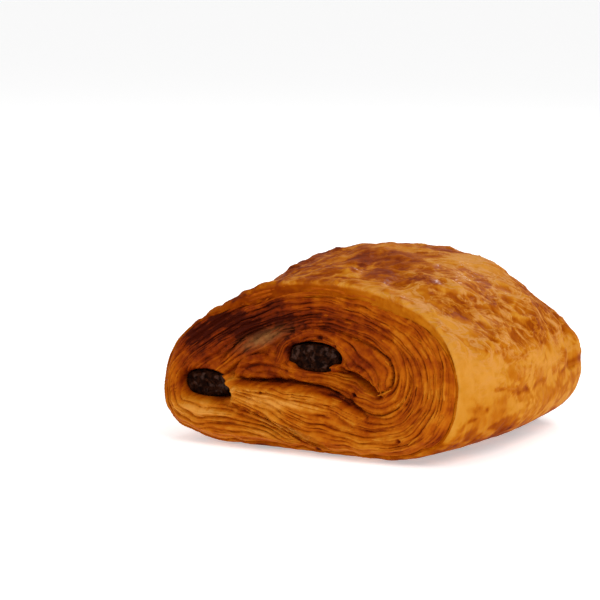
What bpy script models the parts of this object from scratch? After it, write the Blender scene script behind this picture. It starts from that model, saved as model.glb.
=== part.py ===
"""Pain au chocolat: a rolled, laminated pastry with two chocolate sticks running through it.

The roll lies along Y with one end facing -Y and rests on Z = 0. Its crust is a row of rounded
sections with blisters, a valley and a crease. Both ends show the coiled dough as cracks, folds and
ridges of leaves, and the two sticks run through channels from end to end.
"""

import math
import random

import bmesh
import bpy
import numpy as np
from mathutils.geometry import delaunay_2d_cdt

MM = 0.001

# Sections of the roll from the near end to the far end: y, width, height, shift to +X.
STATIONS = np.array(
    [
        (-35.0, 79.5, 41.3, 0.5),
        (-11.7, 82.0, 44.8, 4.4),
        (11.7, 82.0, 45.6, 4.8),
        (35.0, 79.0, 34.5, 3.4),
    ]
) * MM
BELLY = 15.6 * MM  # height of the widest line
LEAN_BACK = 6.0 * MM  # how far each rim leans in from its foot to its top
TOP_ROUND, FOOT_ROUND = 2.21, 3.2
FOOT_DROP = 1.0 * MM  # the foot of the section below Z = 0, pressed flat by the tray
RIM_ROUND = 3.0 * MM
FOOT_CURL = 1.3 * MM  # how far the foot curls up off the tray at each end

AROUND, ALONG = 88, 30
BLISTERS, BLISTER_SEED = 46, 7
CHANNEL_SIDES, CHANNEL_RINGS = 20, 7
STICK_GAP = 0.35 * MM

# The strips of dough as they show on the near end: x, z and half the thickness along each centre line.
OUTER_COIL = np.array(
    [
        (-17.5, 13.4, 2.4), (-12.0, 12.8, 2.9), (-4.0, 11.4, 4.9), (5.0, 8.8, 6.8), (13.5, 7.0, 5.8),
        (21.5, 6.0, 4.9), (29.5, 8.6, 5.2), (34.2, 15.0, 5.7), (34.4, 21.5, 5.7), (30.6, 27.6, 5.2),
        (23.0, 32.5, 4.9), (13.0, 35.8, 4.4), (4.0, 36.8, 4.3), (-5.0, 35.8, 4.6), (-14.0, 33.0, 4.7),
        (-22.0, 28.7, 4.8), (-29.5, 23.5, 4.9), (-34.5, 18.0, 3.9), (-35.4, 13.0, 3.1),
        (-33.0, 7.6, 4.0), (-26.5, 6.0, 4.9), (-17.5, 5.9, 4.8), (-9.0, 4.7, 3.9), (-2.0, 3.2, 2.6),
        (4.0, 1.9, 1.2),
    ]
) * MM
INNER_FOLD = np.array(
    [
        (-15.5, 19.3, 3.4), (-9.0, 18.8, 3.0), (-2.0, 18.0, 1.9), (5.0, 17.6, 1.9), (11.5, 16.6, 2.3),
        (17.0, 14.2, 2.6), (22.0, 13.8, 2.6), (26.0, 16.5, 2.3), (26.6, 21.0, 2.0), (24.0, 25.8, 2.0),
        (18.0, 29.0, 2.0), (11.0, 30.6, 1.6), (4.5, 31.1, 1.5), (-2.0, 29.9, 1.6), (-9.0, 27.3, 2.3),
        (-15.5, 24.3, 2.4), (-20.5, 20.2, 1.8),
    ]
) * MM
CORE_WRAP = np.array(
    [
        (21.8, 18.6, 1.6), (20.3, 21.6, 3.0), (14.5, 24.4, 2.9), (8.0, 27.8, 1.7), (1.0, 28.2, 1.4),
        (-5.0, 25.2, 1.5), (-6.6, 21.6, 1.5),
    ]
) * MM
STRIPS = ((OUTER_COIL, 3), (INNER_FOLD, 1), (CORE_WRAP, 1))  # each with its number of leaves
LEAF_RISE = 0.65 * MM
ROW_STEP = 2.0 * MM
CRACK_STEP = 1.3 * MM

# How far each strip stands out of the end, from its start to its end in even steps.
STRIP_LIFT = (
    np.array([2.4, 2.8, 2.2, 1.2, 0.9, 0.6, 0.0, -0.4, -0.6, -0.6, 0.0, 0.8, 1.6, 1.8, 1.4, 0.8]) * MM,
    np.array([-0.8, -1.2, -1.0, 0.2, 0.4, 0.0, -0.4, -1.0, -1.4]) * MM,
    np.array([0.9, 0.9, 0.2, -0.4, -0.6]) * MM,
)

# Open cracks on the near end: points, depth and half width.
CRACKS = (
    (np.array([(-16.5, 15.6), (-6.0, 16.4), (4.0, 15.9), (11.8, 13.7), (18.5, 10.6)]) * MM,
     3.0 * MM, 0.9 * MM),
    (np.array([(9.6, 22.7), (14.0, 21.2), (18.5, 18.2), (22.0, 17.0)]) * MM, 3.4 * MM, 0.9 * MM),
    (np.array([(-17.5, 10.6), (-10.4, 9.1), (-2.4, 5.6), (3.4, 3.0)]) * MM, 1.3 * MM, 0.8 * MM),
)

# Each stick: node name, centre x and z on the near end, half width, half height, depth of its near
# end below the dough, and how far its mouth opens to the right.
STICKS = (
    ("chocolate_stick_left", -26.7 * MM, 14.2 * MM, 6.2 * MM, 3.1 * MM, 2.0 * MM, 2.6 * MM),
    ("chocolate_stick_right", 2.6 * MM, 22.9 * MM, 6.8 * MM, 3.2 * MM, -0.5 * MM, 0.3 * MM),
)
STICK_ROUND = 2.9
FAR_SHRINK = 0.93  # the sticks' section at the far end, measured against the near one


def clear_scene():
    for item in list(bpy.data.objects):
        bpy.data.objects.remove(item, do_unlink=True)


def smoothstep(low, high, value):
    t = np.clip((value - low) / (high - low), 0.0, 1.0)
    return t * t * (3.0 - 2.0 * t)


def hump(value, centre, spread):
    return np.exp(-(((value - centre) / spread) ** 2))


def station_value(y, column):
    """A smooth cubic through the four stations."""
    return np.polyval(np.polyfit(STATIONS[:, 0] / MM, STATIONS[:, column] / MM, 3), y / MM) * MM


def power(value, exponent):
    return np.sign(value) * np.abs(value) ** exponent


def blister_list():
    """Blisters of the baked crust: angle, y, radius and rise, the same on every run."""
    draw = random.Random(BLISTER_SEED)
    rows = []
    for _ in range(BLISTERS):
        angle = math.radians(draw.uniform(-5.0, 172.0))
        rows.append((angle, draw.uniform(-30.0, 33.0), draw.uniform(3.2, 6.5), draw.uniform(0.5, 1.3)))
    return np.array(rows)


def crust_relief(angle, y):
    """Height of the crust over its smooth section: blisters, the valley and the side crease."""
    upper = smoothstep(0.0, 0.6, np.sin(angle))
    relief = np.zeros(np.broadcast(angle, y).shape)
    for centre, along, radius, rise in blister_list():
        arc = (angle - centre) * 32.0
        relief = relief + rise * np.exp(-(arc**2 + (y / MM - along) ** 2) / radius**2)
    relief = (relief - 0.5) * upper * smoothstep(-34.0, -27.0, y / MM)
    valley = hump(y / MM, 25.0, 3.2) * hump(angle, 0.75, 0.6)
    crease = hump(angle, -0.02 + 0.0025 * y / MM, 0.13) * smoothstep(-28.0, -12.0, y / MM)
    shoulder = hump(angle, 2.35, 0.42) * smoothstep(15.0, -30.0, y / MM)
    return (relief - 3.2 * valley - 1.1 * crease - 2.6 * shoulder) * MM


def crust_point(angle, along):
    """Point of the crust at an angle round the roll and a share of the way from near to far."""
    y = STATIONS[0, 0] + along * (STATIONS[3, 0] - STATIONS[0, 0])
    width, height, shift = (station_value(y, column) for column in (1, 2, 3))
    cosine, sine = np.cos(angle), np.sin(angle)
    top = sine >= 0.0
    reach = np.where(top, 2.0 / TOP_ROUND, 2.0 / FOOT_ROUND)
    from_end = np.minimum(y - STATIONS[0, 0], STATIONS[3, 0] - y)
    at_rim = 1.0 - np.clip(from_end / RIM_ROUND, 0.0, 1.0)
    rounding = 0.975 + 0.025 * np.sqrt(1.0 - at_rim**2)
    out = width / 2.0 * rounding
    rise = np.where(top, height * rounding - BELLY, BELLY + FOOT_DROP)
    x = out * power(cosine, reach)
    z = rise * power(sine, reach)
    length = np.sqrt(x**2 + z**2)
    lift = 1.0 + crust_relief(angle, y) / length
    x, z = x * lift, z * lift + BELLY
    x = x + shift + 0.05 * (z - BELLY)
    z = np.maximum(z, 0.0) + FOOT_CURL * at_rim**2 * np.clip(1.0 - z / BELLY, 0.0, 1.0)
    near_lean = LEAN_BACK * z / STATIONS[0, 2]
    far_lean = 0.8 * LEAN_BACK * z / STATIONS[3, 2]
    return x, y + near_lean * (1.0 - along) - far_lean * along, z


def curve_through(points, step):
    """An evenly stepped smooth curve (Catmull-Rom) through the given rows of numbers."""
    ends = np.vstack([2 * points[0] - points[1], points, 2 * points[-1] - points[-2]])
    rows = []
    for a, b, c, d in zip(ends, ends[1:], ends[2:], ends[3:]):
        t = np.linspace(0.0, 1.0, 24, endpoint=False)[:, None]
        rows.append(
            0.5 * (2 * b + (c - a) * t + (2 * a - 5 * b + 4 * c - d) * t**2 + (3 * b - a - 3 * c + d) * t**3)
        )
    fine = np.vstack(rows + [points[-1:]])
    travelled = np.concatenate([[0.0], np.cumsum(np.linalg.norm(np.diff(fine[:, :2], axis=0), axis=1))])
    wanted = np.linspace(0.0, travelled[-1], max(2, round(travelled[-1] / step) + 1))
    return np.stack([np.interp(wanted, travelled, column) for column in fine.T], axis=1)


def normals_of(line):
    """Left-hand unit normals of a flat curve."""
    tangent = np.gradient(line[:, :2], axis=0)
    tangent /= np.linalg.norm(tangent, axis=1)[:, None]
    return np.stack([-tangent[:, 1], tangent[:, 0]], axis=1)


def nearest_on(line, points):
    """For each point: index of the nearest sample of a curve, and the signed distance to it."""
    away = points[:, None, :] - line[None, :, :2]
    index = np.argmin((away**2).sum(axis=2), axis=1)
    offset = points - line[index, :2]
    return index, (offset * normals_of(line)[index]).sum(axis=1)


def strip_at(points):
    """Which strip each point of the end lies on, its share along it and its place across, -1 to 1."""
    best = np.full(len(points), np.inf)
    which, along, across = np.zeros(len(points), int), np.zeros(len(points)), np.zeros(len(points))
    for number, (route, _) in enumerate(STRIPS):
        line = curve_through(route, 1.0 * MM)
        index, side = nearest_on(line, points)
        gone = np.linalg.norm(points - line[index, :2], axis=1) / line[index, 2]
        closer = gone < best
        best[closer] = gone[closer]
        which[closer] = number
        along[closer] = index[closer] / (len(line) - 1)
        across[closer] = np.clip(side / line[index, 2], -1.3, 1.3)[closer]
    return which, along, across


def rim_distance(points, rim):
    """Distance of each point from the rim, a closed line."""
    ends = np.roll(rim, -1, axis=0)
    span = ends - rim
    away = points[:, None, :] - rim[None]
    t = np.clip((away * span).sum(axis=2) / (span**2).sum(axis=1), 0.0, 1.0)
    return np.linalg.norm(away - t[..., None] * span, axis=2).min(axis=1)


def end_height(points, rim):
    """How far the coiled end stands out at each point, in the near end's own x and z."""
    which, along, across = strip_at(points)
    edge = rim_distance(points, rim)
    height = np.zeros(len(points))
    for number, (_, leaves) in enumerate(STRIPS):
        own = which == number
        lifts = STRIP_LIFT[number]
        lift = np.interp(along[own], np.linspace(0.0, 1.0, len(lifts)), lifts)
        side = np.abs(across[own])
        pillow = lift - 0.5 * MM * side**2 - 0.8 * MM * smoothstep(0.8, 1.1, side)
        ridge = LEAF_RISE * np.cos(2.0 * math.pi * leaves * (across[own] + 1.0) / 2.0)
        height[own] = pillow + ridge
    for points_of_crack, depth, half_width in CRACKS:
        line = curve_through(points_of_crack, 0.8 * MM)
        gap = np.linalg.norm(points[:, None, :] - line[None], axis=2).min(axis=1)
        height -= depth * hump(gap, 0.0, half_width)
    dish = 1.3 * MM * hump(edge, 3.2 * MM, 2.4 * MM) * smoothstep(12 * MM, 26 * MM, points[:, 1])
    return (height + 1.2 * MM - dish) * smoothstep(0.0, 2.4 * MM, edge)


class End:
    """One coiled end: maps its own x and z to the near end's, where the coil is set out."""

    def __init__(self, rim_points, facing):
        self.rim = rim_points
        self.facing = facing
        station = STATIONS[0 if facing < 0 else 3]
        self.shift = station[3] - STATIONS[0, 3]
        self.wide = station[1] / STATIONS[0, 1]
        self.tall = station[2] / STATIONS[0, 2]
        self.foot = STATIONS[0, 0] if facing < 0 else STATIONS[3, 0]
        self.lean = LEAN_BACK / STATIONS[0, 2] if facing < 0 else -0.8 * LEAN_BACK / STATIONS[3, 2]

    def to_coil(self, points):
        return (points - [self.shift, 0.0]) / [self.wide, self.tall]

    def from_coil(self, points):
        return points * [self.wide, self.tall] + [self.shift, 0.0]

    def surface_y(self, points):
        flat_rim = self.to_coil(self.rim[:, [0, 2]])
        rise = end_height(self.to_coil(points), flat_rim)
        return self.foot + self.lean * points[:, 1] + self.facing * rise


def rounded_bar(centre, half_width, half_height, sides):
    angle = np.arange(sides) * 2.0 * math.pi / sides
    x = half_width * power(np.cos(angle), 2.0 / STICK_ROUND)
    z = half_height * power(np.sin(angle), 2.0 / STICK_ROUND)
    return np.stack([x, z], axis=1) + centre


def bar_section(stick, ends, y, extra):
    """Outline of a stick at y, grown by extra: it narrows evenly along a straight line between the ends."""
    _, x, z, half_width, half_height, _, _ = stick
    near, far = (end.from_coil(np.array([[x, z]]))[0] for end in ends)
    share = (y - ends[0].foot) / (ends[1].foot - ends[0].foot)
    size = 1.0 + (FAR_SHRINK - 1.0) * share
    centre = near + (far - near) * share
    return rounded_bar(centre, half_width * size + extra, half_height * size + extra, CHANNEL_SIDES), centre


def mouth_loop(stick, ends, side):
    """The channel's outline where it opens at an end, wider than the bar and flared to the right."""
    end = ends[side]
    middle = end.from_coil(np.array([[stick[1], stick[2]]]))
    loop, centre = bar_section(stick, ends, end.surface_y(middle)[0], STICK_GAP + 0.35 * MM)
    flare = stick[6]
    right = np.clip((loop[:, 0] - centre[0]) / stick[3], 0.0, None)
    loop[:, 0] += flare * right**2
    loop[:, 1] -= 0.35 * flare * right**2
    return loop


def inside(points, loop):
    """Which points lie inside a closed loop."""
    count = np.zeros(len(points), int)
    for (ax, az), (bx, bz) in zip(loop, np.roll(loop, -1, axis=0)):
        crosses = (az > points[:, 1]) != (bz > points[:, 1])
        at = ax + (points[:, 1] - az) * (bx - ax) / np.where(bz == az, 1e-12, bz - az)
        count += crosses & (points[:, 0] < at)
    return count % 2 == 1


def end_points(end, rim_flat, mouths):
    """Points that carry the relief of an end: rows along the leaves, and lines along the cracks."""
    cracks = []
    for route, _, half_width in CRACKS:
        line = curve_through(route, CRACK_STEP)
        side = normals_of(line) * 1.7 * half_width
        cracks += [line, line + side, line - side]
    crack_points = np.vstack(cracks)
    rows = []
    for number, (route, leaves) in enumerate(STRIPS):
        line = curve_through(route, ROW_STEP)
        normal = normals_of(line)
        for row in range(2 * leaves + 1):
            across = -1.0 + row / leaves
            points = line[:, :2] + normal * (line[:, 2] * across * 0.98)[:, None]
            if row % 2:
                points = (points[1:] + points[:-1]) / 2.0
            own, _, _ = strip_at(points)
            rows.append(points[own == number])
    rows = np.vstack(rows)
    clear = np.linalg.norm(rows[:, None, :] - crack_points[None], axis=2).min(axis=1) > 1.2 * MM
    points = end.from_coil(np.vstack([crack_points, rows[clear]]))
    keep = inside(points, rim_flat) & (rim_distance(points, rim_flat) > 1.1 * MM)
    for mouth in mouths:
        keep &= ~inside(points, mouth) & (rim_distance(points, mouth) > 0.7 * MM)
    points = points[keep]
    spaced = []
    for point in points:
        if not spaced or np.linalg.norm(np.array(spaced) - point, axis=1).min() > 0.75 * MM:
            spaced.append(point)
    return np.array(spaced)


def add_end(mesh, end, rim_verts, mouth_verts, mouths):
    """Closes an end between its rim and the mouths of the channels."""
    rim_flat = end.rim[:, [0, 2]]
    loops = [rim_flat] + mouths
    loop_verts = [rim_verts] + mouth_verts
    points = [tuple(p / MM) for p in np.vstack(loops + [end_points(end, rim_flat, mouths)])]
    edges, known, start = [], [], 0
    for loop, verts in zip(loops, loop_verts):
        edges += [(start + i, start + (i + 1) % len(loop)) for i in range(len(loop))]
        known += verts
        start += len(loop)
    out, _, faces, origin, _, _ = delaunay_2d_cdt(points, edges, [], 0, 1e-6)
    flat = np.array([(p[0], p[1]) for p in out]) * MM
    heights = end.surface_y(flat)
    verts = []
    for place, y, sources in zip(flat, heights, origin):
        own = [known[i] for i in sources if i < len(known)]
        verts.append(own[0] if own else mesh.verts.new((place[0], y, place[1])))
    middles = np.array([flat[list(face)].mean(axis=0) for face in faces])
    keep = inside(middles, rim_flat)
    for mouth in mouths:
        keep &= ~inside(middles, mouth)
    for face, wanted in zip(faces, keep):
        if wanted:
            mesh.faces.new([verts[i] for i in face])


def build_dough(material):
    mesh = bmesh.new()
    angles = np.arange(AROUND) * 2.0 * math.pi / AROUND
    even = np.linspace(0.0, 1.0, ALONG)
    shares = even - 0.11 * np.sin(2.0 * math.pi * even)  # closer together at the rims
    rings, places = [], []
    for share in shares:
        x, y, z = crust_point(angles, share)
        places.append(np.stack([x, y, z], axis=1))
        rings.append([mesh.verts.new(tuple(p)) for p in places[-1]])
    for ring, following in zip(rings, rings[1:]):
        for i in range(AROUND):
            j = (i + 1) % AROUND
            mesh.faces.new((ring[i], ring[j], following[j], following[i]))

    ends = (End(places[0], -1.0), End(places[-1], 1.0))
    mouth_verts, mouths = ([], []), ([], [])
    for stick in STICKS:
        near, far = (mouth_loop(stick, ends, side) for side in (0, 1))
        near_y, far_y = ends[0].surface_y(near), ends[1].surface_y(far)
        mouths[0].append(near)
        mouths[1].append(far)
        stack = [np.column_stack([near[:, 0], near_y, near[:, 1]])]
        for y in np.linspace(near_y.max() + 3.0 * MM, far_y.min() - 2.4 * MM, CHANNEL_RINGS - 2):
            flat, _ = bar_section(stick, ends, y, STICK_GAP)
            stack.append(np.column_stack([flat[:, 0], np.full(CHANNEL_SIDES, y), flat[:, 1]]))
        stack.append(np.column_stack([far[:, 0], far_y, far[:, 1]]))
        tube = [[mesh.verts.new(tuple(p)) for p in loop] for loop in stack]
        for ring, following in zip(tube, tube[1:]):
            for i in range(CHANNEL_SIDES):
                j = (i + 1) % CHANNEL_SIDES
                mesh.faces.new((following[i], following[j], ring[j], ring[i]))
        mouth_verts[0].append(tube[0])
        mouth_verts[1].append(tube[-1])
    for side, ring in ((0, rings[0]), (1, rings[-1])):
        add_end(mesh, ends[side], ring, mouth_verts[side], mouths[side])
    bmesh.ops.recalc_face_normals(mesh, faces=mesh.faces[:])
    return finish("dough", mesh, material), ends


def build_stick(stick, ends, material):
    """A bar of chocolate from end to end, with softened corners and slightly domed ends."""
    starts = []
    for side, end in enumerate(ends):
        rim_y = end.surface_y(mouth_loop(stick, ends, side))
        starts.append(rim_y.mean() - end.facing * stick[5])
    near_y, far_y = starts
    mesh = bmesh.new()
    rings = []
    dome = ((0.55, 0.0), (0.86, 0.35), (1.0, 1.3))
    stations = [(near_y + inset * MM, scale) for scale, inset in dome]
    stations += [(near_y + (far_y - near_y) * t, 1.0) for t in (0.2, 0.4, 0.6, 0.8)]
    stations += [(far_y - inset * MM, scale) for scale, inset in reversed(dome)]
    for y, scale in stations:
        outline, centre = bar_section(stick, ends, y, 0.0)
        flat = centre + (outline - centre) * scale
        rings.append([mesh.verts.new((p[0], y, p[1])) for p in flat])
    for ring, following in zip(rings, rings[1:]):
        for i in range(CHANNEL_SIDES):
            j = (i + 1) % CHANNEL_SIDES
            mesh.faces.new((ring[i], ring[j], following[j], following[i]))
    mesh.faces.new(rings[0])
    mesh.faces.new(rings[-1])
    bmesh.ops.recalc_face_normals(mesh, faces=mesh.faces[:])
    return finish(stick[0], mesh, material)


def finish(name, mesh, material):
    bmesh.ops.triangulate(mesh, faces=mesh.faces[:])
    data = bpy.data.meshes.new(name)
    mesh.to_mesh(data)
    mesh.free()
    data.materials.append(material)
    item = bpy.data.objects.new(name, data)
    bpy.context.collection.objects.link(item)
    data.shade_smooth()
    data.set_sharp_from_angle(angle=math.radians(50.0))
    return item


def food_material(name, colour, roughness):
    material = bpy.data.materials.new(name)
    material.use_nodes = True
    shader = material.node_tree.nodes["Principled BSDF"]
    shader.inputs["Base Color"].default_value = (*colour, 1.0)
    shader.inputs["Roughness"].default_value = roughness
    shader.inputs["Metallic"].default_value = 0.0
    return material


def centre_on_origin(items):
    """Moves every piece so that the whole part's box is centred on X and Y and stands on Z = 0."""
    corners = np.array([v.co[:] for item in items for v in item.data.vertices])
    low, high = corners.min(axis=0), corners.max(axis=0)
    for item in items:
        for v in item.data.vertices:
            v.co.x -= (low[0] + high[0]) / 2.0
            v.co.y -= (low[1] + high[1]) / 2.0
            v.co.z -= low[2]


clear_scene()
crust = food_material("golden_crust", (0.56, 0.23, 0.045), 0.4)
chocolate = food_material("dark_chocolate", (0.02, 0.011, 0.008), 0.35)
dough, both_ends = build_dough(crust)
pieces = [dough] + [build_stick(stick, both_ends, chocolate) for stick in STICKS]
centre_on_origin(pieces)
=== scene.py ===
"""The looks of a pain au chocolat: a glossy baked skin, two coiled ends of thin leaves and two sticks
of dark chocolate, on a pale studio floor."""

import itertools
import math
import random

import bpy
import numpy as np
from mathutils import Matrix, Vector


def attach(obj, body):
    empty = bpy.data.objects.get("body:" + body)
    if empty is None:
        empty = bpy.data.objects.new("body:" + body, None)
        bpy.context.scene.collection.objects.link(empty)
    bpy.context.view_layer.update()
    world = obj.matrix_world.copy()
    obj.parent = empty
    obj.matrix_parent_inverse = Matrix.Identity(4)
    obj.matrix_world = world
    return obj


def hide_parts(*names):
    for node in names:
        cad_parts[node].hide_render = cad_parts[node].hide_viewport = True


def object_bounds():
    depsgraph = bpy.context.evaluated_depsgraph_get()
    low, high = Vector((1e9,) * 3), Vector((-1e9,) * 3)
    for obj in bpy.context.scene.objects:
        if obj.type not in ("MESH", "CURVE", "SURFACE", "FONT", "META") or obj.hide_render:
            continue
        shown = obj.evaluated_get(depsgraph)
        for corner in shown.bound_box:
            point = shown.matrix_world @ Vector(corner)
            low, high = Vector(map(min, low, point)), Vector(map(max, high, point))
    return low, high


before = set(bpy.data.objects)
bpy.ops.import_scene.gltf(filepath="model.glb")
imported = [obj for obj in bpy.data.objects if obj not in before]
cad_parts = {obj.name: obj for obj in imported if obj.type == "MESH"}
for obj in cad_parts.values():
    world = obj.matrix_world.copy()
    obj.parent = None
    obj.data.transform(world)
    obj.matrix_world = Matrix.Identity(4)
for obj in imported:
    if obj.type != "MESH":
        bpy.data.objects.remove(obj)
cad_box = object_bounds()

# The roll's form. A slab of yeast dough folded with butter is rolled round two chocolate sticks and
# proved until it slumps: a rounded loaf, flat where the tray held it, low and soft at the far end.
# Sections and leans are the solid's; the right flank is a little fuller and the valley deeper here.
MM = 0.001
STATIONS = np.array([  # y, width, height and shift to the right of each section, in mm
    (-35.0, 79.5, 41.3, 0.5), (-11.7, 82.0, 44.8, 4.4), (11.7, 82.0, 45.6, 4.8), (35.0, 79.0, 34.5, 3.4),
]) * MM
BELLY = 15.6 * MM
LEAN_BACK = 6.0 * MM
FAR_LEAN = 0.8  # the far end leans this much as far as the near end
LEAN_OUT = 0.05  # to the right, as a share of the height over the belly
TOP_ROUND, FOOT_ROUND = 2.21, 3.2
FOOT_DROP = 1.0 * MM
RIM_ROUND, RIM_SHRINK = 3.0 * MM, 0.025
FOOT_CURL, FOOT_WAVER = 1.3 * MM, 0.28 * MM
NEAR_FULLER, FAR_FULLER = 1.3 * MM, 1.2 * MM
MEAN_RADIUS = 32.0  # of the roll, in mm
BLISTERS, BLISTER_SEED, BLISTER_SINK = 46, 7, 0.5
# Wide swells and the valley: middle and spread along the roll in mm, middle and spread round it in
# radians, and rise in mm.
SWELLS = ((3.0, 12.0, 0.95, 0.3, 1.1), (-36.0, 8.0, 0.85, 0.4, 0.99), (25.4, 2.7, 0.75, 0.6, -4.8))
CREASE_DEPTH, SHOULDER_DROP = 0.5, 2.6  # in mm
SET_OUT = np.array([3.4985, 0.1261, 0.0]) * MM  # from the middle of the object's box to the stations


def ramp(low, high, value):
    """A smooth rise from 0 at low to 1 at high."""
    t = np.clip((value - low) / (high - low), 0.0, 1.0)
    return t * t * (3.0 - 2.0 * t)


def hump(value, centre, spread):
    return np.exp(-(((value - centre) / spread) ** 2))


def power(value, exponent):
    return np.sign(value) * np.abs(value) ** exponent


def station_value(y, column):
    return np.polyval(np.polyfit(STATIONS[:, 0] / MM, STATIONS[:, column] / MM, 3), y / MM) * MM


def blister_list():
    """Angle, place along the roll, radius and rise of each big blister, in radians and mm."""
    draw = random.Random(BLISTER_SEED)
    rows = []
    for _ in range(BLISTERS):
        angle = math.radians(draw.uniform(-5.0, 172.0))
        rows.append((angle, draw.uniform(-30.0, 33.0), draw.uniform(3.2, 6.5), draw.uniform(0.5, 1.3)))
    return rows


def crust_relief(angle, y):
    """Height of the crust over its smooth section: blisters, swells, the side crease and the sunken
    left shoulder."""
    run = y / MM
    relief = np.zeros(np.broadcast(angle, y).shape)
    for centre, along, radius, rise in blister_list():
        arc = (angle - centre) * MEAN_RADIUS
        relief = relief + rise * np.exp(-(arc**2 + (run - along) ** 2) / radius**2)
    relief = (relief - BLISTER_SINK) * ramp(0.0, 0.6, np.sin(angle)) * ramp(-34.0, -27.0, run)
    for along, length, turned, reach, rise in SWELLS:
        relief = relief + rise * hump(run, along, length) * hump(angle, turned, reach)
    above_belly = 20.0 * power(np.sin(angle), 0.8)
    crease = hump(above_belly, 0.06 * run - 0.5, 2.4) * ramp(-28.0, 0.0, run) * (np.cos(angle) > 0)
    shoulder = hump(angle, 2.35, 0.42) * ramp(15.0, -30.0, run)
    return (relief - CREASE_DEPTH * crease - SHOULDER_DROP * shoulder) * MM


def crust_point(angle, along):
    """Point of the skin at an angle round the roll and a share of the way from near to far."""
    y = STATIONS[0, 0] + along * (STATIONS[3, 0] - STATIONS[0, 0])
    width, height, shift = (station_value(y, column) for column in (1, 2, 3))
    cosine, sine = np.cos(angle), np.sin(angle)
    top = sine >= 0.0
    reach = np.where(top, 2.0 / TOP_ROUND, 2.0 / FOOT_ROUND)
    from_end = np.minimum(y - STATIONS[0, 0], STATIONS[3, 0] - y)
    at_rim = 1.0 - np.clip(from_end / RIM_ROUND, 0.0, 1.0)
    rounding = 1.0 - RIM_SHRINK + RIM_SHRINK * np.sqrt(1.0 - at_rim**2)
    x = width / 2.0 * rounding * power(cosine, reach)
    z = np.where(top, height * rounding - BELLY, BELLY + FOOT_DROP) * power(sine, reach)
    lift = 1.0 + crust_relief(angle, y) / np.sqrt(x**2 + z**2)
    x, z = x * lift, z * lift + BELLY
    x = x + shift + LEAN_OUT * (z - BELLY)
    fuller = NEAR_FULLER * (1.0 - along) ** 7
    fuller = fuller + FAR_FULLER * ramp(0.72, 0.95, along) * ramp(5 * MM, 18 * MM, z)
    x = x + fuller * ramp(0.3, 0.9, cosine)
    waver = FOOT_WAVER * np.sin(0.62 * x / MM + 1.4 * np.sin(0.37 * x / MM))
    z = np.maximum(z, 0.0) + (FOOT_CURL + waver) * at_rim**2 * np.clip(1.0 - z / BELLY, 0.0, 1.0)
    near_lean = LEAN_BACK * z / STATIONS[0, 2]
    far_lean = FAR_LEAN * LEAN_BACK * z / STATIONS[3, 2]
    return x, y + near_lean * (1.0 - along) - far_lean * along, z


# The two ends, where the knife cut across the roll before it was proved. Each shows the coiled dough
# edge on: an outer coil that starts as a lip at the left stick, a fold of the inner roll and a wrap
# round the right stick. Each strip is dozens of leaves that butter kept apart in the oven.
# The middle line of each strip on the near end: x, z and half width in mm.
OUTER_COIL = np.array([
    (-17.5, 13.4, 2.4), (-12.0, 12.8, 2.9), (-4.0, 11.4, 4.9), (5.0, 8.8, 6.8), (13.5, 7.0, 5.8),
    (21.5, 6.0, 4.9), (29.5, 8.6, 5.2), (34.2, 15.0, 5.7), (34.4, 21.5, 5.7), (30.6, 27.6, 5.2),
    (23.0, 32.5, 4.9), (13.0, 35.8, 4.4), (4.0, 36.8, 4.3), (-5.0, 35.8, 4.6), (-14.0, 33.0, 4.7),
    (-22.0, 28.7, 4.8), (-29.5, 23.5, 4.9), (-34.5, 18.0, 3.9), (-35.4, 13.0, 3.1),
    (-33.0, 7.6, 4.0), (-26.5, 6.0, 4.9), (-17.5, 5.9, 4.8), (-9.0, 4.7, 3.9), (-2.0, 3.2, 2.6),
    (4.0, 1.9, 1.2),
]) * MM
INNER_FOLD = np.array([
    (-15.5, 19.3, 3.4), (-9.0, 18.8, 3.0), (-2.0, 18.0, 1.9), (5.0, 17.6, 1.9), (11.5, 16.6, 2.3),
    (17.0, 14.2, 2.6), (22.0, 13.8, 2.6), (26.0, 16.5, 2.3), (26.6, 21.0, 2.0), (24.0, 25.8, 2.0),
    (18.0, 29.0, 2.0), (11.0, 30.6, 1.6), (4.5, 31.1, 1.5), (-2.0, 29.9, 1.6), (-9.0, 27.3, 2.3),
    (-15.5, 24.3, 2.4), (-20.5, 20.2, 1.8),
]) * MM
CORE_WRAP = np.array([
    (21.8, 18.6, 1.6), (20.3, 21.6, 3.0), (14.5, 24.4, 2.9), (8.0, 27.8, 1.7), (1.0, 28.2, 1.4),
    (-5.0, 25.2, 1.5), (-6.6, 21.6, 1.5),
]) * MM
STRIPS = ((OUTER_COIL, 14), (INNER_FOLD, 5), (CORE_WRAP, 5))  # and how many leaves show in each
# How far each strip stands out of the end, from its start to its finish, in mm.
STRIP_LIFT = (
    (2.4, 2.8, 2.2, 1.2, 0.9, 0.6, 0.0, -0.4, -0.6, -0.6, 0.0, 0.8, 1.6, 1.8, 1.4, 0.8),
    (-0.8, -1.2, -1.0, 0.2, 0.4, 0.0, -0.4, -1.0, -1.4),
    (0.9, 0.9, 0.2, -0.4, -0.6),
)
# Cracks between the strips: route, depth and half width in mm.
CRACKS = (
    (((-16.5, 15.6), (-6.0, 16.4), (4.0, 15.9), (11.8, 13.7), (18.5, 10.6)), 2.3, 0.55),
    (((10.6, 21.0), (14.6, 19.4), (18.5, 17.2), (21.4, 15.9)), 2.6, 0.6),
    (((-17.5, 10.6), (-10.4, 9.1), (-2.4, 5.6), (3.4, 3.0)), 1.0, 0.5),
    (((-16.8, 16.4), (-15.9, 18.3), (-13.0, 19.7), (-9.0, 19.9), (-4.2, 19.2)), 0.5, 0.28),
)
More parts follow.
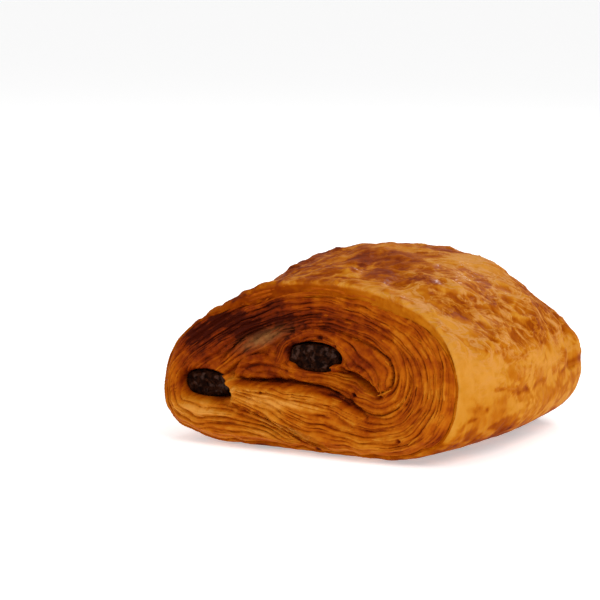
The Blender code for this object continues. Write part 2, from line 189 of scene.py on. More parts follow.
# Each stick: its node, x, z, half width and half height, how deep its end lies in the opening, and how
# far the opening flares to the right.
STICKS = (
    ("chocolate_stick_left", -26.7 * MM, 14.2 * MM, 6.2 * MM, 3.1 * MM, 2.0 * MM, 1.7 * MM),
    ("chocolate_stick_right", 2.6 * MM, 22.9 * MM, 6.8 * MM, 3.2 * MM, -0.5 * MM, 0.3 * MM),
)
STICK_ROUND = 2.9
OPENING_ROUND = 2.2  # the dough laps a little over the corners of a stick
STICK_GAP = 0.15 * MM
FAR_SHRINK = 0.93
STRIP_STEP = 0.4 * MM
FOLDS = (6.2, 3.0, 2.4)  # soft folds across each strip, each of two or three leaves
FOLD_DEPTH, LEAF_DEPTH = 0.58, 0.8  # in mm, where the end is neither calm nor torn
# Parts of the end that baked in their own way, two of them also darkened with painted shade: x, z and reach
# of each in mm, then how much lighter its tone is, and how much deeper its folds and its leaf edges are.
PATCHES = (
    (-8.0, 18.8, 12.0, 2.8, -0.22, -0.8, -0.75),
    (-27.0, 8.2, 9.0, 2.8, 0.24, 1.7, -0.6),
    (-27.0, 3.0, 12.0, 2.6, 0.14, -0.5, -0.4),
    (-6.0, 12.0, 12.5, 2.4, 0.42, -0.2, -0.2),
    (18.0, 23.0, 5.5, 3.4, -0.3, 0.0, -0.3),
    (25.0, 4.6, 8.0, 3.0, 0.14, 0.0, 0.0),
    (-5.0, 6.0, 9.0, 2.8, 0.2, 0.8, -0.6),
    # This row and the next darken the upper left and the top of the end partly as browning, partly as painted
    # shade.
    (-20.0, 29.0, 20.0, 7.0, -0.56, 0.1, 0.1),
    (6.0, 32.5, 16.0, 4.5, -0.29, -0.3, -0.2),
    (-31.0, 22.0, 6.0, 7.0, -0.2, 0.0, 0.0),
    (36.0, 18.0, 4.0, 14.0, 0.05, -0.1, 0.5),
    (24.0, 19.0, 5.0, 6.5, 0.05, 0.6, 0.0),
    (-17.2, 33.1, 4.0, 1.3, 0.22, 0.0, 0.0),
    (4.5, 36.1, 5.0, 1.2, 0.16, 0.0, 0.0),
    (16.9, 34.7, 5.0, 1.3, 0.16, 0.0, 0.0),
    (20.0, 9.0, 4.0, 1.6, -0.14, 0.0, 0.0),
    (-18.6, 15.0, 2.6, 4.0, 0.04, -0.95, -0.95),
)
# Rolls of dough that stand over the rest: route, half width, rise, tone and how crumbly each is.
RIDGES = (
    (((-5.0, 24.6), (-3.2, 27.4), (1.0, 29.0), (5.1, 29.2), (8.9, 27.9), (11.0, 24.8)), 0.9, 0.55, 0.03, 0.1),
    (((7.6, 20.6), (11.5, 22.0), (16.5, 20.7), (21.4, 18.4), (23.4, 16.6)), 1.1, 1.2, 0.0, 0.9),
    (((-17.4, 13.9), (-9.6, 14.6), (2.4, 14.3), (10.6, 12.2), (16.4, 9.0)), 0.75, 0.7, 0.16, 0.3),
    (((-17.0, 17.2), (-18.6, 15.6), (-18.7, 12.8), (-17.4, 11.2), (-12.0, 9.6), (-4.0, 6.7), (3.0, 3.9)),
     0.7, 0.9, 0.14, 0.1),
    (((-15.4, 15.0), (-16.9, 13.6), (-15.6, 12.2), (-11.0, 11.4)), 0.5, 0.5, 0.1, 0.1),
    (((-18.3, 16.2), (-18.0, 18.0), (-16.3, 19.7), (-12.5, 20.8), (-6.8, 20.6), (-2.2, 19.2)),
     0.5, 0.55, 0.12, 0.1),
    (((-14.8, 16.6), (-13.6, 17.9), (-10.2, 19.0), (-5.6, 18.7), (-1.9, 17.7)), 0.5, 0.45, 0.1, 0.1),
    (((-34.6, 10.4), (-31.0, 8.6), (-26.0, 8.9), (-21.0, 8.3), (-15.5, 8.2)), 0.6, 0.5, 0.1, 0.1),
)
CRUMBLY_ROUTE = RIDGES[1][0]
# Lips of dough that lap over a stick's corner: x, z and reach of each in mm.
LIPS = ((10.2, 20.6, 4.0, 1.6), (-4.2, 20.2, 2.6, 1.7))
# Small pits where steam broke out, darker inside: x, z and radius in mm.
PITS = ((-3.7, 28.6, 0.7), (4.1, 27.6, 0.75), (8.6, 26.0, 0.5), (14.3, 15.1, 0.6), (5.8, 1.9, 0.6),
        (-9.0, 14.2, 0.4), (27.6, 6.0, 0.5))
COIL_CENTRE = np.array([1.5, 19.0]) * MM
CREAM_PATCH = (-11.8, 25.8)  # a bare, unbrowned streak of dough, 5.6 by 1.5 mm, that slants up
CREAM_SLANT = np.array([[0.92, -0.39], [0.39, 0.92]])


def grain(points, size, seed):
    """A smooth random field from -1 to 1, with lumps of the given size, the same on every run."""
    place = np.asarray(points, float) / size + seed * 31.7
    cell = np.floor(place).astype(np.int64)
    part = place - cell
    part = part * part * (3.0 - 2.0 * part)
    total = np.zeros(len(place))
    for corner in itertools.product((0, 1), repeat=place.shape[1]):
        spot = cell + corner
        mixed = seed * 144665
        for axis, prime in zip(spot.T, (374761393, 668265263, 1274126177)):
            mixed = (mixed + axis * prime) & 0x7FFFFFFF
        mixed = ((mixed ^ (mixed >> 13)) * 60493) & 0x7FFFFFFF
        mixed = (mixed ^ (mixed >> 15)) & 0xFFFF
        weight = np.prod(np.where(corner, part, 1.0 - part), axis=1)
        total += weight * (mixed / 32767.5 - 1.0)
    return total


def streaked(line, along, length, seed):
    """Grain drawn out along the leaves. The factor on a line keeps one leaf's grain off the next's."""
    return grain(np.column_stack([line, along / length]), 1.0, seed)


def curve_through(points, step):
    """An evenly stepped smooth curve through the given rows of numbers."""
    ends = np.vstack([2 * points[0] - points[1], points, 2 * points[-1] - points[-2]])
    rows = []
    for a, b, c, d in zip(ends, ends[1:], ends[2:], ends[3:]):
        t = np.linspace(0.0, 1.0, 24, endpoint=False)[:, None]
        bend, twist = 2 * a - 5 * b + 4 * c - d, 3 * b - a - 3 * c + d
        rows.append(0.5 * (2 * b + (c - a) * t + bend * t**2 + twist * t**3))
    fine = np.vstack(rows + [points[-1:]])
    travelled = np.concatenate([[0.0], np.cumsum(np.linalg.norm(np.diff(fine[:, :2], axis=0), axis=1))])
    wanted = np.linspace(0.0, travelled[-1], max(2, round(travelled[-1] / step) + 1))
    return np.stack([np.interp(wanted, travelled, column) for column in fine.T], axis=1)


def turned_left(course):
    """Unit vectors a quarter turn to the left of the given ones."""
    course = course / np.linalg.norm(course, axis=1)[:, None]
    return np.stack([-course[:, 1], course[:, 0]], axis=1)


def nearest_on(line, points):
    """For each point: the nearest sample of a curve and the distance to it, a few thousand at a time."""
    index, gap = np.zeros(len(points), int), np.zeros(len(points))
    for start in range(0, len(points), 3000):
        away = points[start : start + 3000, None, :] - line[None, :, :2]
        square = (away**2).sum(axis=2)
        index[start : start + 3000] = square.argmin(axis=1)
        gap[start : start + 3000] = np.sqrt(square.min(axis=1))
    return index, gap


def route_distance(route, step, points):
    """Distance from each point to a smooth route, all in mm."""
    return nearest_on(curve_through(np.array(route), step), points)[1]


def rim_distance(points, rim):
    """Distance from each point to the rim, in mm."""
    return route_distance(np.vstack([rim, rim[:1]]) / MM, 0.8, points / MM)


def strip_at(points):
    """Which strip each point lies on, how far along and across it, and which way it runs there."""
    best, course = np.full(len(points), np.inf), np.zeros((len(points), 2))
    which, share = np.zeros(len(points), int), np.zeros(len(points))
    run, across = np.zeros(len(points)), np.zeros(len(points))
    for number, (route, _) in enumerate(STRIPS):
        line = curve_through(route, STRIP_STEP)
        index, gap = nearest_on(line, points)
        normals = turned_left(np.gradient(line[:, :2], axis=0))[index]
        side = ((points - line[index, :2]) * normals).sum(axis=1)
        closer = gap / line[index, 2] < best
        best[closer] = (gap / line[index, 2])[closer]
        which[closer] = number
        share[closer] = index[closer] / (len(line) - 1)
        run[closer] = index[closer] * STRIP_STEP
        across[closer] = np.clip(side / line[index, 2], -1.3, 1.3)[closer]
        course[closer] = (normals @ [[0.0, -1.0], [1.0, 0.0]])[closer]
    return which, share, run, across, course


def lift_at(number, share):
    """How far a strip stands out at a share of its length, in mm."""
    return np.interp(share, np.linspace(0.0, 1.0, len(STRIP_LIFT[number])), STRIP_LIFT[number])


def rounded_over(height, edge, z):
    """Height of an end near its rim, in mm: dished behind the rim's top, then rounded over."""
    dish = 1.3 * hump(edge, 3.2, 2.4) * ramp(12.0, 26.0, z)
    return (height + 1.2 - dish) * ramp(0.0, 2.4, edge)


def coil_surface(points, rim):
    """The cut end at each point: its height, its tone from 0 (a gap in painted shade) to 1 (a pale edge) and
    its leaf.
    """
    which, share, run, across, course = strip_at(points)
    edge = rim_distance(points, rim)
    spot = points / MM
    x, z = spot.T
    light, height, tone, leaf_line = (np.zeros(len(x)) for _ in range(4))
    fold_depth, leaf_depth = np.full(len(x), FOLD_DEPTH), np.full(len(x), LEAF_DEPTH)
    for middle_x, middle_z, reach_x, reach_z, lighter, deeper_folds, deeper_leaves in PATCHES:
        near = hump(x, middle_x, reach_x) * hump(z, middle_z, reach_z)
        light += lighter * near
        fold_depth *= 1.0 + deeper_folds * near
        leaf_depth *= 1.0 + deeper_leaves * near
    drift = 1.1 * grain(spot, 11.0, 3) + 0.42 * grain(spot, 3.4, 4)
    sway = 0.35 * grain(spot, 6.0, 6)
    for number, (_, leaves) in enumerate(STRIPS):
        own = which == number
        side = np.abs(across[own])
        body = lift_at(number, share[own]) - 0.5 * side**2 - 0.5 * ramp(0.82, 1.1, side)
        along = run[own] / MM
        place = (across[own] + 1.0) / 2.0
        folds = place * FOLDS[number] + drift[own] * 0.5 + sway[own]
        folds += 0.3 * streaked(folds * 0.7, along, 14.0, 8)
        crest = np.abs(np.sin(math.pi * folds)) ** 0.65
        swell = streaked(np.floor(folds) * 9.7, along, 9.0, 13 + number)
        count = place * leaves + drift[own]
        count += 0.42 * streaked(count * 0.8, along, 30.0, 9)
        leaf = np.floor(count)
        groove = ramp(0.5, 1.0, np.abs(count - leaf - 0.5) * 2.0)
        stand = streaked(leaf * 9.7, along, 7.0, 11 + number)
        fine = streaked(leaf * 5.3, along, 3.0, 17 + number)
        torn = ramp(0.3, 0.42, streaked(leaf * 3.9, along, 5.0, 19))
        gap = ramp(0.0, 0.75, streaked(np.round(count) * 7.9, along, 6.5, 23))
        deep, thin = fold_depth[own], leaf_depth[own]
        height[own] = body + deep * (crest - 0.7 + 0.5 * swell)
        height[own] += thin * (0.22 * stand + 0.1 * fine - 0.28 * torn - (0.06 + 0.5 * gap) * groove)
        # Fold crests and raised leaves get a lighter tone as painted light; fold hollows, torn leaves and the
        # gaps between leaves get a darker one as painted shade.
        toned = deep * (0.24 * crest - 0.17 + 0.1 * swell)
        toned += thin * (0.12 * stand + 0.09 * fine - 0.08 * torn - (0.06 + 0.36 * gap) * groove)
        tone[own] = 0.5 + toned * (1.0 - 0.3 * ramp(14.0, 24.0, z[own]))
        leaf_line[own] = count + 40.0 * number
    crumb = grain(spot, 0.9, 43) + 0.5 * grain(spot, 0.5, 44)
    for route, half_width, rise, lighter, crumbly in RIDGES:
        gap = route_distance(route, 0.4, spot) + 0.25 * grain(spot, 1.8, 32)
        raised = hump(gap, 0.0, half_width)
        height = height + raised * (rise + crumbly * 0.3 * crumb)
        tone += raised * (lighter + crumbly * 0.1 * crumb)
    # The cracks are sunk, and their darker tone is painted shade.
    for route, depth, half_width in CRACKS:
        gap = route_distance(route, 0.5, spot) + 0.25 * grain(spot, 1.3, 31)
        opened = hump(gap, 0.0, half_width)
        height -= depth * opened
        tone -= min(0.3, 0.4 * depth) * opened
    for pit_x, pit_z, radius in PITS:
        in_pit = hump(np.hypot(x - pit_x, (z - pit_z) * 1.3) + 0.2 * crumb, 0.0, radius)
        height -= 1.1 * in_pit
        tone -= 0.6 * in_pit
    tone += 0.02 + 0.04 * ramp(20.0, 8.0, z) + light
    tone += 0.1 * grain(spot, 3.2, 5) + 0.09 * grain(spot, 1.5, 7) + 0.05 * crumb
    height += 0.04 * crumb + 0.2 * grain(spot, 4.5, 42)
    return rounded_over(height, edge, z) * MM, tone, leaf_line, run / MM, course


class End:
    """One cut end: maps its own x and z to the near end's, where the coil is set out."""

    def __init__(self, rim_points, facing):
        station = STATIONS[0 if facing < 0 else 3]
        self.facing = facing
        self.foot = station[0]
        self.shift = station[3] - STATIONS[0, 3]
        self.size = station[1:3] / STATIONS[0, 1:3]
        self.lean = (LEAN_BACK if facing < 0 else -FAR_LEAN * LEAN_BACK) / station[2]
        self.rim = rim_points[:, [0, 2]]

    def to_coil(self, points):
        return (points - [self.shift, 0.0]) / self.size

    def from_coil(self, points):
        return points * self.size + [self.shift, 0.0]

    def surface(self, points):
        rise, *looks = coil_surface(self.to_coil(points), self.to_coil(self.rim[::4]))
        return self.foot + self.lean * points[:, 1] + self.facing * rise, looks


def rounded_bar(half_width, half_height, sides):
    angle = np.arange(sides) * 2.0 * math.pi / sides
    x = half_width * power(np.cos(angle), 2.0 / STICK_ROUND)
    z = half_height * power(np.sin(angle), 2.0 / STICK_ROUND)
    return np.stack([x, z], axis=1)


def store(data, named):
    """Keeps named values at the points of a mesh, for its node trees and material to read."""
    for title, values in named.items():
        data.attributes.new(title, "FLOAT", "POINT").data.foreach_set("value", np.asarray(values, float))


def mesh_object(name, points, faces, named=None):
    data = bpy.data.meshes.new(name)
    data.from_pydata((np.asarray(points) - SET_OUT).tolist(), [], faces)
    store(data, named or {})
    data.shade_smooth()
    made = bpy.data.objects.new(name, data)
    bpy.context.collection.objects.link(made)
    return made


def ring_faces(rings, around):
    """Quads between closed rings of points that follow each other."""
    faces = []
    for row in range(rings - 1):
        base = row * around
        for i in range(around):
            j = (i + 1) % around
            faces.append((base + i, base + around + i, base + around + j, base + j))
    return faces


# The baked skin. It is the outermost leaf, brushed with egg and browned: amber on the blisters, pale
# where it stretched, and wrapped a few millimetres over each rim to a thin broken edge.
SKIN_AROUND, SKIN_ALONG, TURN_RINGS = 470, 168, 9
RIM_CROWDING = 0.04  # the rings stand closer towards both rims
TUCK = 0.5 * MM
VEIN_RISE, CRINKLE_RISE = 0.35, 0.16  # of raised lines and of the finer net between them, in mm
BOX_MARGIN = 0.05  # in mm, kept free inside the solids' box
# Spots that browned more or less than the rest: x, y, z, reach in mm and how much.
SPOTS = (
    (43.9, -8.8, 27.0, 5.0, 0.07), (45.0, 3.5, 25.6, 4.5, 0.24), (41.0, -18.5, 29.5, 5.5, 0.06),
    (20.0, -17.0, 42.0, 7.0, 0.06), (9.4, -11.0, 44.0, 6.0, 0.12), (25.0, 2.0, 44.0, 4.0, -0.16),
    (45.4, 9.2, 20.7, 4.0, -0.12), (38.5, -31.0, 5.5, 4.0, 0.14), (41.0, -31.5, 13.0, 3.5, -0.07),
    (44.0, -2.0, 9.0, 9.0, -0.06), (30.0, -35.5, 4.4, 0.9, 0.5), (26.0, -34.7, 1.4, 1.0, 0.5),
    (41.0, -22.6, 4.6, 1.2, 0.35), (43.0, -18.0, 9.0, 3.0, 0.16), (44.5, -14.0, 13.0, 2.6, 0.1),
    (45.8, 6.5, 13.0, 7.0, -0.13), (42.0, -26.0, 11.5, 4.5, 0.27), (45.1, -9.0, 16.5, 4.5, -0.12),
    (44.0, -17.5, 13.5, 4.5, 0.22), (45.6, 3.0, 16.5, 5.0, -0.1), (42.8, -15.5, 26.5, 3.2, 0.16),
)

sweep = np.linspace(0.0, 2.0 * math.pi, 4001)
trial = np.stack(crust_point(sweep, np.full(len(sweep), 0.5)), axis=1)
reached = np.concatenate([[0.0], np.cumsum(np.linalg.norm(np.diff(trial, axis=0), axis=1))])
angles = np.interp(np.linspace(0.0, reached[-1], SKIN_AROUND, endpoint=False), reached, sweep)
even = np.linspace(0.0, 1.0, SKIN_ALONG)
shares = even - RIM_CROWDING * np.sin(2.0 * math.pi * even)
rings = [np.stack(crust_point(angles, share), axis=1) for share in shares]
near_end, far_end = End(rings[0], -1.0), End(rings[-1], 1.0)
both_ends = (near_end, far_end)


def inward_of(rim):
    """Unit directions from a rim into the end, in its own plane."""
    return turned_left(np.roll(rim, -1, axis=0) - np.roll(rim, 1, axis=0))


def turn_width(end):
    """How far the skin wraps onto an end round its rim: wide over the top and right, thin at the foot."""
    sine = np.sin(angles)
    width = 0.4 + 0.7 * ramp(0.15, 0.5, sine) + 2.4 * ramp(0.45, 0.95, sine)
    width *= 1.0 - 0.5 * ramp(0.2, 1.0, -np.cos(angles))
    return MM * width * (1.0 + 0.22 * grain(end.rim / MM, 6.0, 51) + 0.05 * grain(end.rim / MM, 1.5, 52))


def turned_in(end):
    """Rings that carry the skin over a rim, smooth, to an edge that wanders in and out."""
    made = []
    ragged = turn_width(end)
    for share in np.linspace(0.0, 1.0, TURN_RINGS + 1)[1:]:
        flat = end.rim + inward_of(end.rim) * (ragged * share)[:, None]
        coil = end.to_coil(flat)
        edge = rim_distance(coil, end.to_coil(end.rim[::4]))
        lift = lift_at(0, strip_at(coil)[1])
        rise = (rounded_over(lift, edge, coil[:, 1] / MM) + 0.1 * share) * MM
        y = end.foot + end.lean * flat[:, 1] + end.facing * rise
        made.append(np.insert(flat, 1, y, axis=1))
    return made + [made[-1] - [0.0, end.facing * TUCK, 0.0]]


skin_rings = turned_in(near_end)[::-1] + rings + turned_in(far_end)
turn_share = np.zeros(len(skin_rings))
turn_share[: TURN_RINGS + 1] = np.linspace(1.0, 0.1, TURN_RINGS + 1)
turn_share[-TURN_RINGS - 1 :] = np.linspace(0.1, 1.0, TURN_RINGS + 1)
run_back = np.pad(shares, TURN_RINGS + 1, "edge") * (STATIONS[3, 0] - STATIONS[0, 0]) / MM
skin_turn = np.repeat(turn_share, SKIN_AROUND)
skin_sine = np.sin(np.tile(angles, len(skin_rings)))
crust = mesh_object("crust", np.vstack(skin_rings), ring_faces(len(skin_rings), SKIN_AROUND), {
    "turn": skin_turn,
    "upper": ramp(-0.25, 0.5, skin_sine) * (1.0 - ramp(0.0, 0.3, skin_turn)),
    "from_near": np.repeat(run_back, SKIN_AROUND),
})


def add(tree, kind, inputs=None, **settings):
    """Adds a node with its settings. An input is a value, a socket, or a node for its first output."""
    made = tree.nodes.new(kind)
    for name, value in settings.items():
        setattr(made, name, value)
    for key, value in (inputs or {}).items():
        if isinstance(value, bpy.types.Node):
            value = value.outputs[0]
        if isinstance(value, bpy.types.NodeSocket):
            tree.links.new(value, made.inputs[key])
        else:
            made.inputs[key].default_value = value
    return made


def linear(colour):
    """An sRGB hex colour as linear red, green, blue and alpha."""
    parts = [int(colour[i : i + 2], 16) / 255.0 for i in (1, 3, 5)]
    return [p / 12.92 if p <= 0.04045 else ((p + 0.055) / 1.055) ** 2.4 for p in parts] + [1.0]


def new_material(name, numbers, titles=()):
    """A material with its shader's numbers, the object's coordinates and values stored on its points."""
    material = bpy.data.materials.new(name)
    material.use_nodes = True
    tree = material.node_tree
    shader = tree.nodes["Principled BSDF"]
    for title, value in numbers.items():
        shader.inputs[title].default_value = value
    place = add(tree, "ShaderNodeTexCoord").outputs["Object"]
    read = {title: add(tree, "ShaderNodeAttribute", attribute_name=title).outputs["Fac"] for title in titles}
    return material, tree, shader, place, read


def browned(tree, amount, first, steps):
    """A colour that goes from the first through each step as the amount passes its low and high."""
    colour = linear(first)
    for low, high, browner in steps:
        part = add(tree, "ShaderNodeMapRange", {0: amount, 1: low, 2: high})
        mixed = add(tree, "ShaderNodeMix", {0: part, 6: colour, 7: linear(browner)}, data_type="RGBA")
        colour = mixed.outputs[2]
    return colour


def slanted_course(tree, place, round_roll):
    """Coordinates drawn out round the roll and slanted, as the stretched skin's wrinkles are."""
    slant = add(tree, "ShaderNodeVectorMath", {0: place, 1: (-0.5, 1.0, 0.5)}, operation="DOT_PRODUCT")
    slant = add(tree, "ShaderNodeCombineXYZ", {1: slant.outputs["Value"]})
    drawn = add(tree, "ShaderNodeVectorMath", {0: place, 1: (round_roll, 0.0, round_roll)},
                operation="MULTIPLY")
    return add(tree, "ShaderNodeVectorMath", {0: drawn, 1: slant}, operation="ADD")


def baked_skin():
    """Egg-washed crust: browned proteins and sugars under a thin clear gloss, so soft highlights."""
    material, tree, shader, place, read = new_material(
        "egg_washed_crust", {"Roughness": 0.55, "Specular IOR Level": 0.01, "Coat Roughness": 0.16},
        ("bake_and_shade", "low", "veined", "gloss"))
    fine = add(tree, "ShaderNodeTexNoise", {"Vector": place, "Scale": 420.0, "Detail": 5.0})  # 2.4 mm
    total = add(tree, "ShaderNodeMath", {0: fine, 1: 0.3, 2: -0.15}, operation="MULTIPLY_ADD")
    total = add(tree, "ShaderNodeMath", {0: read["bake_and_shade"], 1: total}, operation="ADD")
    # Fine pale lines where the skin cracked as it stretched: slanted above, level on the low flank.
    level = add(tree, "ShaderNodeVectorMath", {0: place, 1: (1.0, 0.55, 1.2)}, operation="MULTIPLY")
    above, below = (
        add(tree, "ShaderNodeTexNoise",
            {"Vector": course, "Scale": 250.0, "Detail": 4.0, "Roughness": 0.6, "Distortion": 0.8})  # 4 mm
        for course in (slanted_course(tree, place, 0.7), level)
    )
    line = add(tree, "ShaderNodeMix", {0: read["low"], 2: above, 3: below})
    line = add(tree, "ShaderNodeMath", {0: line, 1: 0.5}, operation="SUBTRACT")
    line = add(tree, "ShaderNodeMath", {0: line}, operation="ABSOLUTE")
    line = add(tree, "ShaderNodeMapRange", {0: line, 1: 0.06, 2: 0.0})
    line = add(tree, "ShaderNodeMath", {0: line, 1: read["veined"]}, operation="MULTIPLY")
    total = add(tree, "ShaderNodeMath", {0: line, 1: -0.26, 2: total}, operation="MULTIPLY_ADD")
    colour = browned(tree, total, "#cd8a34", (
        (0.0, 0.22, "#c47f22"), (0.22, 0.42, "#b5660c"), (0.42, 0.6, "#9c4a00"), (0.6, 0.8, "#7c2e00"),
        (0.8, 1.0, "#491400"),
    ))
    # On the palest lines the colour turns peach: partly the pale stretched skin, partly a painted highlight
    # for the warm sheen on the raised lines.
    peach_highlight = add(tree, "ShaderNodeMapRange", {0: read["bake_and_shade"], 1: 0.62, 2: 0.4, 4: 0.55})
    peach_highlight = add(tree, "ShaderNodeMath", {0: line, 1: peach_highlight}, operation="MULTIPLY")
    mixed = add(tree, "ShaderNodeMix", {0: peach_highlight, 6: colour, 7: linear("#cc8c58")}, data_type="RGBA")
    tree.links.new(mixed.outputs[2], shader.inputs["Base Color"])
    gloss = add(tree, "ShaderNodeMath", {0: read["gloss"], 1: 0.09}, operation="MULTIPLY")
    tree.links.new(gloss.outputs[0], shader.inputs["Coat Weight"])
    raised = add(tree, "ShaderNodeMath", {0: line, 1: 0.6, 2: fine}, operation="MULTIPLY_ADD")
    bump = add(tree, "ShaderNodeBump", {"Height": raised, "Strength": 0.45, "Distance": 0.0006})
    tree.links.new(bump.outputs["Normal"], shader.inputs["Normal"])
    return material


def new_tree(name, sizes, finish):
    """A node tree that takes a mesh, named sizes and a material, and gives a mesh."""
    tree = bpy.data.node_groups.new(name, "GeometryNodeTree")
    face = tree.interface
    face.new_socket("Geometry", in_out="INPUT", socket_type="NodeSocketGeometry")
    for title, usual in sizes.items():
        kind = "NodeSocketVector" if isinstance(usual, tuple) else "NodeSocketFloat"
        face.new_socket(title, in_out="INPUT", socket_type=kind).default_value = usual
    face.new_socket(finish, in_out="INPUT", socket_type="NodeSocketMaterial")
    face.new_socket("Geometry", in_out="OUTPUT", socket_type="NodeSocketGeometry")
    return tree, add(tree, "NodeGroupInput").outputs


def close_tree(tree, made, finish):
    """Ends a tree with plain mesh in its material."""
    made = add(tree, "GeometryNodeRealizeInstances", {"Geometry": made})
    made = add(tree, "GeometryNodeSetMaterial", {"Geometry": made, "Material": finish})
    add(tree, "NodeGroupOutput", {"Geometry": made})
    return tree


def blistering():
    """Raises blisters and stretch wrinkles on the skin and stores how much of each a point has."""
    tree, given = new_tree("blistering", {
        "Blister rise": 0.0008, "Wrinkle rise": 0.0011, "Blisters per metre": 125.0, "Sunk": 0.00045,
    }, "Skin")
    place = add(tree, "GeometryNodeInputPosition")
    upper = add(tree, "GeometryNodeInputNamedAttribute", {"Name": "upper"})
    shaken = add(tree, "ShaderNodeTexNoise", {"Vector": place, "Scale": 110.0, "Detail": 2.0})
    push = add(tree, "ShaderNodeVectorMath", {0: shaken.outputs["Color"], 1: (0.006, 0.009, 0.006)},
               operation="MULTIPLY")
    moved = add(tree, "ShaderNodeVectorMath", {0: place, 1: push}, operation="ADD")
    long = add(tree, "ShaderNodeVectorMath", {0: moved, 1: (1.0, 0.6, 1.0)}, operation="MULTIPLY")
    cells = {"Vector": long, "Scale": given["Blisters per metre"]}
    edges = add(tree, "ShaderNodeTexVoronoi", cells, feature="DISTANCE_TO_EDGE").outputs["Distance"]
    chance = add(tree, "ShaderNodeTexVoronoi", cells).outputs["Color"]
    chance = add(tree, "FunctionNodeSeparateColor", {0: chance})
    crown = add(tree, "ShaderNodeMapRange", {0: edges, 1: 0.02, 2: 0.3}, interpolation_type="SMOOTHSTEP")
    puffed = add(tree, "ShaderNodeMath", {0: crown, 1: chance}, operation="MULTIPLY")
    wrinkle = add(tree, "ShaderNodeTexNoise",
                  {"Vector": slanted_course(tree, moved, 0.4), "Scale": 300.0, "Detail": 4.0,
                   "Roughness": 0.6})
    wide = add(tree, "ShaderNodeTexNoise", {"Vector": place, "Scale": 60.0, "Detail": 2.0})
    loose = add(tree, "ShaderNodeMapRange", {0: wide, 1: 0.38, 2: 0.62, 3: 0.35, 4: 1.25})
    rise = given["Blister rise"]
    for share in (puffed, upper):
        rise = add(tree, "ShaderNodeMath", {0: rise, 1: share}, operation="MULTIPLY")
    ripple = add(tree, "ShaderNodeMath", {0: wrinkle, 1: 0.5}, operation="SUBTRACT")
    for share in (given["Wrinkle rise"], loose):
        ripple = add(tree, "ShaderNodeMath", {0: ripple, 1: share}, operation="MULTIPLY")
    total = add(tree, "ShaderNodeMath", {0: rise, 1: ripple}, operation="ADD")
    total = add(tree, "ShaderNodeMath", {0: total, 1: given["Sunk"]}, operation="SUBTRACT")
    normal = add(tree, "GeometryNodeInputNormal")
    offset = add(tree, "ShaderNodeVectorMath", {0: normal, "Scale": total}, operation="SCALE")
    made = add(tree, "GeometryNodeSetPosition", {"Geometry": given["Geometry"], "Offset": offset})
    for title, value in (("puffed", puffed), ("wrinkle", wrinkle)):
        made = add(tree, "GeometryNodeStoreNamedAttribute", {"Geometry": made, "Name": title, "Value": value})
    return close_tree(tree, made, given["Skin"])


def grown(made, tree, values):
    """Runs a node tree on an object and keeps the result as a plain mesh."""
    modifier = made.modifiers.new("grown", "NODES")
    modifier.node_group = tree
    sockets = {item.name: item.identifier for item in tree.interface.items_tree if item.in_out == "INPUT"}
    for title, value in values.items():
        modifier[sockets[title]] = value
    seen = made.evaluated_get(bpy.context.evaluated_depsgraph_get())
    plain = bpy.data.meshes.new_from_object(seen)
    made.modifiers.clear()
    made.data = plain
    plain.shade_smooth()


grown(crust, blistering(), {"Skin": baked_skin()})


def point_values(made, name):
    values = np.zeros(len(made.data.vertices))
    made.data.attributes[name].data.foreach_get("value", values)
    return values


# The lines that stand on the skin: a few long veins and a finer net, which run round the roll and
# slant a little. All lengths here are in mm, and x, length and height are those of the smooth skin.
skin_place = np.zeros(len(crust.data.vertices) * 3)
crust.data.vertices.foreach_get("co", skin_place)
smooth = (skin_place.reshape(-1, 3) + SET_OUT) / MM
puffed, wrinkle, from_near, turn = (
    point_values(crust, title) for title in ("puffed", "wrinkle", "from_near", "turn"))
x, length, height = smooth.T
slanted = np.column_stack([0.5 * x, smooth @ [-0.5, 1.0, 0.5], 0.5 * height])
warped = slanted + 2.4 * np.stack([grain(smooth, 4.0, seed) for seed in (63, 64, 65)], axis=1)
flank = np.column_stack([x, 0.5 * length, height - 0.06 * length]) + 0.5 * (warped - slanted)
vein = ramp(0.2, 0.0, np.abs(grain(warped, 7.0, 66))) * ramp(-0.2, 0.5, grain(warped, 6.0, 67))
long_vein = hump(length + 0.8 * grain(smooth, 6.0, 70), -15.4, 0.75)
vein = np.maximum(vein, 1.3 * long_vein * ramp(22.0, 30.0, height) * ramp(8.0, 16.0, x))
clear = ramp(10.0, 22.0, height) * (1.0 - ramp(0.0, 0.2, turn))
crinkle = ramp(0.22, 0.0, np.abs(grain(warped, 3.0, 87))) * clear
skin_up = np.zeros(len(skin_place))
crust.data.vertices.foreach_get("normal", skin_up)
spot = smooth + skin_up.reshape(-1, 3) * (VEIN_RISE * vein * clear + CRINKLE_RISE * crinkle)[:, None]
least, most = (np.array(cad_box) + SET_OUT) / MM
spot = np.clip(spot, least + [BOX_MARGIN, BOX_MARGIN, 0.0], most - BOX_MARGIN)
crust.data.vertices.foreach_set("co", (spot * MM - SET_OUT).ravel())

